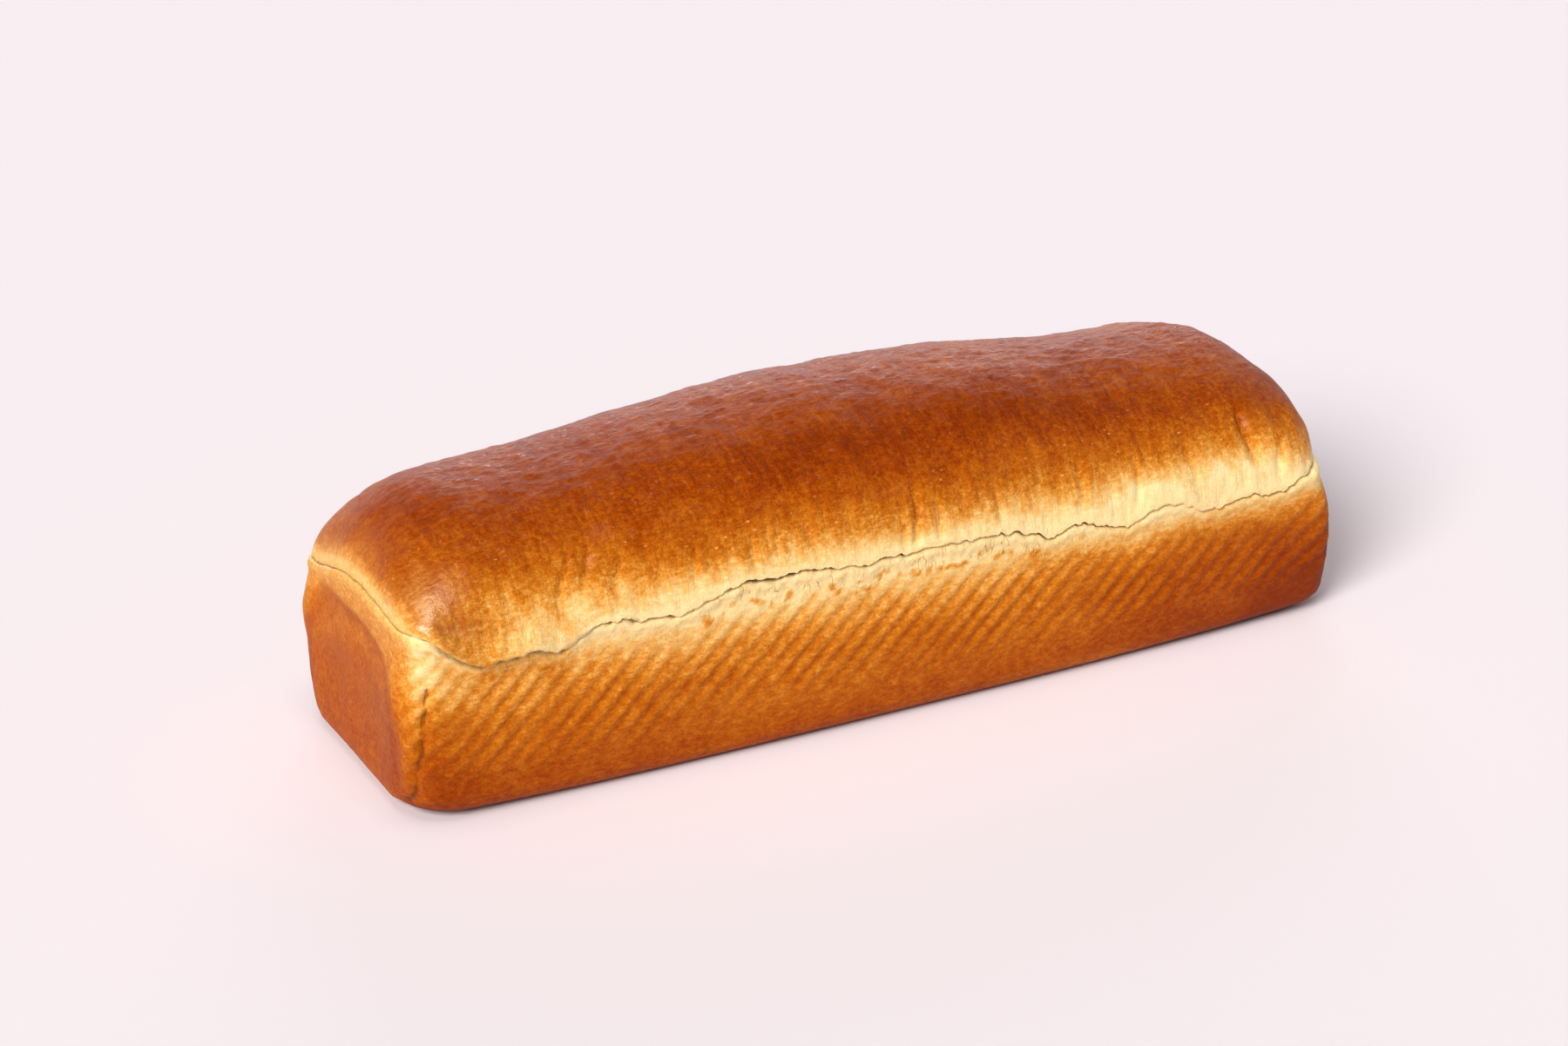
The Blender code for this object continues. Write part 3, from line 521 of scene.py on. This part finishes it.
# darker along the wrinkles
bake += oven["wrinkles"] * wrinkled * isCrown
islands = hump(past, -9, 3.5) * isFront * spread * smoothStep(0.3, 0.9, rough(points, (5, 5, 3.5), 25, 2))
bake += oven["islands"] * islands
# paler beside the crease: a cream edge with a painted highlight on the ridge there
bake -= oven["blob"] * blob + oven["crease"] * hump(offCrease, -3.2, 2.4) * alongCrease
# painted bounced light: a golden glow on the front bottom edge
bake -= oven["bouncedGlow"] * hump(x, 100, 28) * hump(z, 3, 5) * isFront
# painted light: the up-facing top of the crown is made paler
paintedTopLight = oven["top"][0] + oven["top"][1] * smoothStep(20, 90, x)
bake -= paintedTopLight * smoothStep(0.8, 0.97, normals[:, 2]) * isCrown

# where the skin was stretched thin it shines: the shoulder above the fold and, less, a few swells
glaze = hump(x, -187, 12) * hump(z, 86, 9) * smoothStep(-25, -45, y)
glaze += 0.14 * smoothStep(0.3, 0.9, rough(points, (12, 9, 5), 27, 2)) * hump(z, 98, 14) * isFront

# distance from the crease, with stretches where it closes up; the material paints a line of shade along it
closed = 3 * (1 - alongCrease) + 0.7 * smoothStep(0, 0.8, rough(points, 9, 35))
fromCrease = np.where(alongCrease > 0.01, np.abs(offCrease) + closed, 9.0)


def addAttribute(name, values):
    made = crust.data.attributes.new(name, "FLOAT", "POINT")
    made.data.foreach_set("value", values.astype(np.float32))


addAttribute("bake", np.clip(bake, 0, 1))
# painted shade in the crack and under the fold
addAttribute("crack", np.clip(paintedCrackShade, 0, 1))
addAttribute("crown", isCrown)
addAttribute("streaky", isCrown * (1 - 0.8 * isLeft))
addAttribute("blotchy", 0.2 + 0.8 * np.clip(3 * bake, 0, 1))     # the pale band is even in colour
# where the painted glints go: the crown, few on its top
addAttribute("paintedGlints", isCrown * (1 - 0.85 * smoothStep(94, 106, z)))
addAttribute("leathery", 0.5 + isCrown * (1.05 * smoothStep(0.05, 0.45, bake) - 0.25))
addAttribute("glaze", np.clip(glaze, 0, 1) * isCrown)
addAttribute("torn", np.clip(torn, 0, 1))
addAttribute("offCrease", fromCrease)
print("crust browned")


def addNode(tree, kind, settings=None, inputs=None, output=0):
    # one node with its settings; an input takes either a value or the socket that it is linked from
    node = tree.nodes.new(kind)
    for key, value in (settings or {}).items():
        setattr(node, key, value)
    for key, value in (inputs or {}).items():
        if isinstance(value, bpy.types.NodeSocket):
            tree.links.new(value, node.inputs[key])
        else:
            node.inputs[key].default_value = value
    return node.outputs[output] if node.outputs else None


def newMaterial(name):
    material = bpy.data.materials.new(name)
    material.use_nodes = True
    material.node_tree.nodes.clear()
    return material, material.node_tree


def setRamp(node, stops):
    ramp = node.color_ramp
    while len(ramp.elements) < len(stops):
        ramp.elements.new(0.5)
    for element, (position, colour) in zip(ramp.elements, stops):
        element.position = position
        element.color = toLinear(colour)


crustLook = {
    "browning": [(0.0, "#f3da9f"), (0.1, "#e8bb70"), (0.25, "#d9923a"), (0.42, "#c27018"), (0.6, "#ad560a"),
                 (0.8, "#963d03"), (1.0, "#7e2b01")],
    # crackColour is the colour of the painted shade in the crack and along the crease
    "crackColour": "#592b08", "riftColour": "#bb8436", "paintedGlintColour": "#f0b468",
    "crownRoughness": 0.45, "wallRoughness": 0.6, "ior": 1.45, "shineTint": "#d07818",
    # gloss of browned sugar where the skin is tight; sugar is about 1.5, raised until its shine shows
    "glaze": 1.0, "glazeRoughness": 0.16, "glazeIor": 1.9,
    # patterns: size in mm, detail and stretch. Real pores are about 0.2 mm and grain 0.3 to 0.5 mm, drawn two
    # to four times as coarse so that they show; streaks, mottle and tears are life size
    "patterns": {"grain": (1.9, 6.0, (0.6, 1.0, 1.0)), "sand": (0.8, 2.0, (0.6, 1.0, 1.0)),
                 "streak": (1.8, 4.0, (1.0, 0.25, 0.2)), "mottle": (7.0, 5.0, (1.0, 1.0, 1.0)),
                 "pores": (0.5, 2.0, (1.0, 1.0, 1.0)), "tears": (4.0, 2.0, (1.0, 0.5, 0.3)),
                 "glints": (1.5, 3.0, (0.5, 1.0, 1.0))},
    "unevenness": {"grain": 0.66, "mottle": 0.24, "sand": 0.42},
    # paintedGlintSize and paintedGlintColour set the pale flecks painted in as glints
    "streakShare": 0.42, "paintedGlintSize": 3.2,
}


def crustMaterial(look):
    # bread crust, browned in the oven: a sugar-brown skin, satin with small glints where it rose free of the
    # tin and dull where the tin pressed it
    material, tree = newMaterial("ovenBrownedCrust")
    arithmetic, mapRange = "ShaderNodeMath", "ShaderNodeMapRange"
    times, timesPlus = {"operation": "MULTIPLY"}, {"operation": "MULTIPLY_ADD"}
    place = addNode(tree, "ShaderNodeTexCoord", output="Object")
    known = {}
    for name in ("bake", "blotchy", "crack", "crown", "streaky", "leathery", "paintedGlints", "glaze", "torn",
                 "offCrease"):
        known[name] = addNode(tree, "ShaderNodeAttribute", {"attribute_name": name}, output="Fac")
    field = {}
    for name, (size, detail, stretch) in look["patterns"].items():
        moved = addNode(tree, "ShaderNodeMapping", {}, {"Vector": place, "Scale": stretch})
        field[name] = addNode(tree, "ShaderNodeTexNoise", {}, {"Vector": moved, "Scale": 1 / (size * mm),
                                                               "Detail": detail, "Roughness": 0.6}, "Fac")

    # browning, made uneven by grain everywhere and by upright streaks on the crown
    uneven = -0.5 * sum(look["unevenness"].values())
    for name, share in look["unevenness"].items():
        uneven = addNode(tree, arithmetic, timesPlus, {0: field[name], 1: share, 2: uneven})
    streak = addNode(tree, arithmetic, timesPlus,
                     {0: field["streak"], 1: look["streakShare"], 2: -0.5 * look["streakShare"]})
    uneven = addNode(tree, arithmetic, timesPlus, {0: streak, 1: known["streaky"], 2: uneven})
    level = addNode(tree, arithmetic, timesPlus, {0: uneven, 1: known["blotchy"], 2: known["bake"]})
    colour = addNode(tree, "ShaderNodeValToRGB", {}, {"Fac": level}, "Color")
    setRamp(colour.node, look["browning"])

    # painted glints: small pale flecks on the crown that stand in for glints off tiny blisters
    moved = addNode(tree, "ShaderNodeMapping", {}, {"Vector": place, "Scale": (0.55, 1.0, 1.0),
                                                    "Rotation": (0, 0.5, 0.3)})
    away = addNode(tree, "ShaderNodeTexVoronoi", {"feature": "F1"},
                   {"Vector": moved, "Scale": 1 / (look["paintedGlintSize"] * mm)})
    paintedGlint = addNode(tree, mapRange, {}, {0: away, 1: 0.17, 2: 0.05, 3: 0.0, 4: 0.7})
    often = addNode(tree, mapRange, {}, {0: field["mottle"], 1: 0.45, 2: 0.55})
    often = addNode(tree, arithmetic, times, {0: often, 1: known["paintedGlints"]})
    paintedGlint = addNode(tree, arithmetic, times, {0: paintedGlint, 1: often})

    # thin rifts in the torn crumb
    rift = addNode(tree, arithmetic, {"operation": "SUBTRACT"}, {0: field["tears"], 1: 0.5})
    rift = addNode(tree, arithmetic, {"operation": "ABSOLUTE"}, {0: rift})
    rift = addNode(tree, mapRange, {}, {0: rift, 1: 0.02, 2: 0.004, 3: 0.0, 4: 0.7})
    often = addNode(tree, mapRange, {}, {0: field["mottle"], 1: 0.45, 2: 0.6})
    often = addNode(tree, arithmetic, times, {0: often, 1: known["torn"]})
    rift = addNode(tree, arithmetic, times, {0: rift, 1: often})

    # painted shade in the crease beside the corner and in the crack itself, dark inside
    creaseShade = addNode(tree, mapRange, {}, {0: known["offCrease"], 1: 1.1, 2: 0.3, 3: 0.0, 4: 0.8})
    cracked = addNode(tree, arithmetic, times, {0: known["crack"], 1: 0.9})
    for share, over in ((paintedGlint, "paintedGlintColour"), (rift, "riftColour"),
                        (creaseShade, "crackColour"), (cracked, "crackColour")):
        colour = addNode(tree, "ShaderNodeMix", {"data_type": "RGBA"},
                         {0: share, 6: colour, 7: toLinear(look[over])}, 2)

    # relief too fine for the mesh: leathery grain on the crown, pores, rifts
    height = addNode(tree, arithmetic, times, {0: field["grain"], 1: known["leathery"]})
    height = addNode(tree, arithmetic, timesPlus, {0: streak, 1: known["streaky"], 2: height})
    height = addNode(tree, arithmetic, timesPlus, {0: field["pores"], 1: 0.25, 2: height})
    height = addNode(tree, arithmetic, timesPlus, {0: rift, 1: -0.4, 2: height})
    bump = addNode(tree, "ShaderNodeBump", {}, {"Height": height, "Strength": 1.0, "Distance": 1.1 * mm})
    glazeBump = addNode(tree, "ShaderNodeBump", {}, {"Height": height, "Strength": 0.45,
                                                     "Distance": 0.6 * mm})

    # dull on the walls, satin on the crown, with a gloss in patches and in small glints
    rise = look["crownRoughness"] - look["wallRoughness"]
    dull = addNode(tree, arithmetic, timesPlus, {0: known["crown"], 1: rise, 2: look["wallRoughness"] - 0.15})
    dull = addNode(tree, arithmetic, timesPlus, {0: field["pores"], 1: 0.3, 2: dull})
    glint = addNode(tree, mapRange, {}, {0: field["glints"], 1: 0.6, 2: 0.68, 3: 0.0, 4: 0.6})
    glint = addNode(tree, arithmetic, times, {0: glint, 1: known["crown"]})
    glint = addNode(tree, arithmetic, times, {0: glint, 1: known["bake"]})
    glaze = addNode(tree, arithmetic, times, {0: known["glaze"], 1: look["glaze"]})
    glaze = addNode(tree, arithmetic, {"operation": "MAXIMUM"}, {0: glaze, 1: glint})
    shader = addNode(tree, "ShaderNodeBsdfPrincipled", {}, {
        "Base Color": colour, "Roughness": dull, "Normal": bump, "IOR": look["ior"],
        "Specular Tint": toLinear(look["shineTint"]), "Coat Weight": glaze, "Coat Normal": glazeBump,
        "Coat Roughness": look["glazeRoughness"], "Coat IOR": look["glazeIor"]})
    addNode(tree, "ShaderNodeOutputMaterial", {}, {"Surface": shader})
    return material


crust.data.materials.append(crustMaterial(crustLook))
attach(crust, "root")
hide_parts("loaf")
print("crust painted")

# an even studio: a large window to the left, a weaker one behind and light from overhead
studio = {
    "floor": "#e6e0e5", "horizon": 1.0, "overhead": 0.18,
    "window": {"power": 3.7, "angle": 28.0, "colour": "#fffaf6", "from": (-0.70, -0.48, 0.62)},
    "backWindow": {"power": 0.9, "angle": 36.0, "colour": "#fff6fb", "from": (0.40, 0.80, 0.2)},
    "ceiling": {"power": 0.75, "angle": 30.0, "colour": "#fffcfa", "from": (-0.08, -0.13, 0.99)},
}


def makeFloor():
    half = 4.0                                    # metres
    mesh = bpy.data.meshes.new("floor")
    square = [(-half, -half, 0), (half, -half, 0), (half, half, 0), (-half, half, 0)]
    mesh.from_pydata(square, [], [(0, 1, 2, 3)])
    floor = bpy.data.objects.new("floor", mesh)
    bpy.context.scene.collection.objects.link(floor)
    # matt uncoated background paper: pale, slightly pink, no shine
    material, tree = newMaterial("paleBackgroundPaper")
    shader = addNode(tree, "ShaderNodeBsdfPrincipled", {}, {"Base Color": toLinear(studio["floor"]),
                                                            "Roughness": 0.9, "Specular IOR Level": 0.0})
    addNode(tree, "ShaderNodeOutputMaterial", {}, {"Surface": shader})
    mesh.materials.append(material)


def makeLight():
    for name in ("window", "backWindow", "ceiling"):
        data = bpy.data.lights.new(name, "SUN")
        data.energy = studio[name]["power"]
        data.angle = math.radians(studio[name]["angle"])
        data.color = toLinear(studio[name]["colour"])[:3]
        lamp = bpy.data.objects.new(name, data)
        lamp.rotation_euler = Vector(studio[name]["from"]).to_track_quat("Z", "Y").to_euler()
        bpy.context.scene.collection.objects.link(lamp)
    # a pale room: bright round the horizon, dimmer overhead
    world = bpy.data.worlds.new("room")
    world.use_nodes = True
    tree = world.node_tree
    direction = addNode(tree, "ShaderNodeTexCoord", output="Generated")
    up = addNode(tree, "ShaderNodeSeparateXYZ", {}, {0: direction}, "Z")
    shade = addNode(tree, "ShaderNodeMapRange", {}, {0: up, 1: 0.0, 2: 0.3,
                                                     3: studio["horizon"], 4: studio["overhead"]})
    tree.links.new(shade, tree.nodes["Background"].inputs["Strength"])
    tree.nodes["Background"].inputs["Color"].default_value = toLinear("#fffafc")
    bpy.context.scene.world = world
    bpy.context.scene.view_settings.view_transform = "Standard"


def makeCamera():
    # a long lens from the front left, a little above; metres, degrees and lens mm
    view = {"azimuth": -27.26, "elevation": 25.36, "distance": 1.631, "target": (-0.0187, 0.0, 0.0642),
            "lens": 94.0}
    around, up = math.radians(view["azimuth"]), math.radians(view["elevation"])
    back = Vector((math.sin(around) * math.cos(up), -math.cos(around) * math.cos(up), math.sin(up)))
    data = bpy.data.cameras.new("camera")
    data.lens = view["lens"]
    data.sensor_width = 36
    camera = bpy.data.objects.new("camera", data)
    camera.location = Vector(view["target"]) + back * view["distance"]
    camera.rotation_euler = back.to_track_quat("Z", "Y").to_euler()
    bpy.context.scene.collection.objects.link(camera)
    bpy.context.scene.camera = camera


makeFloor()
makeLight()
makeCamera()
print("floor, light and camera set")
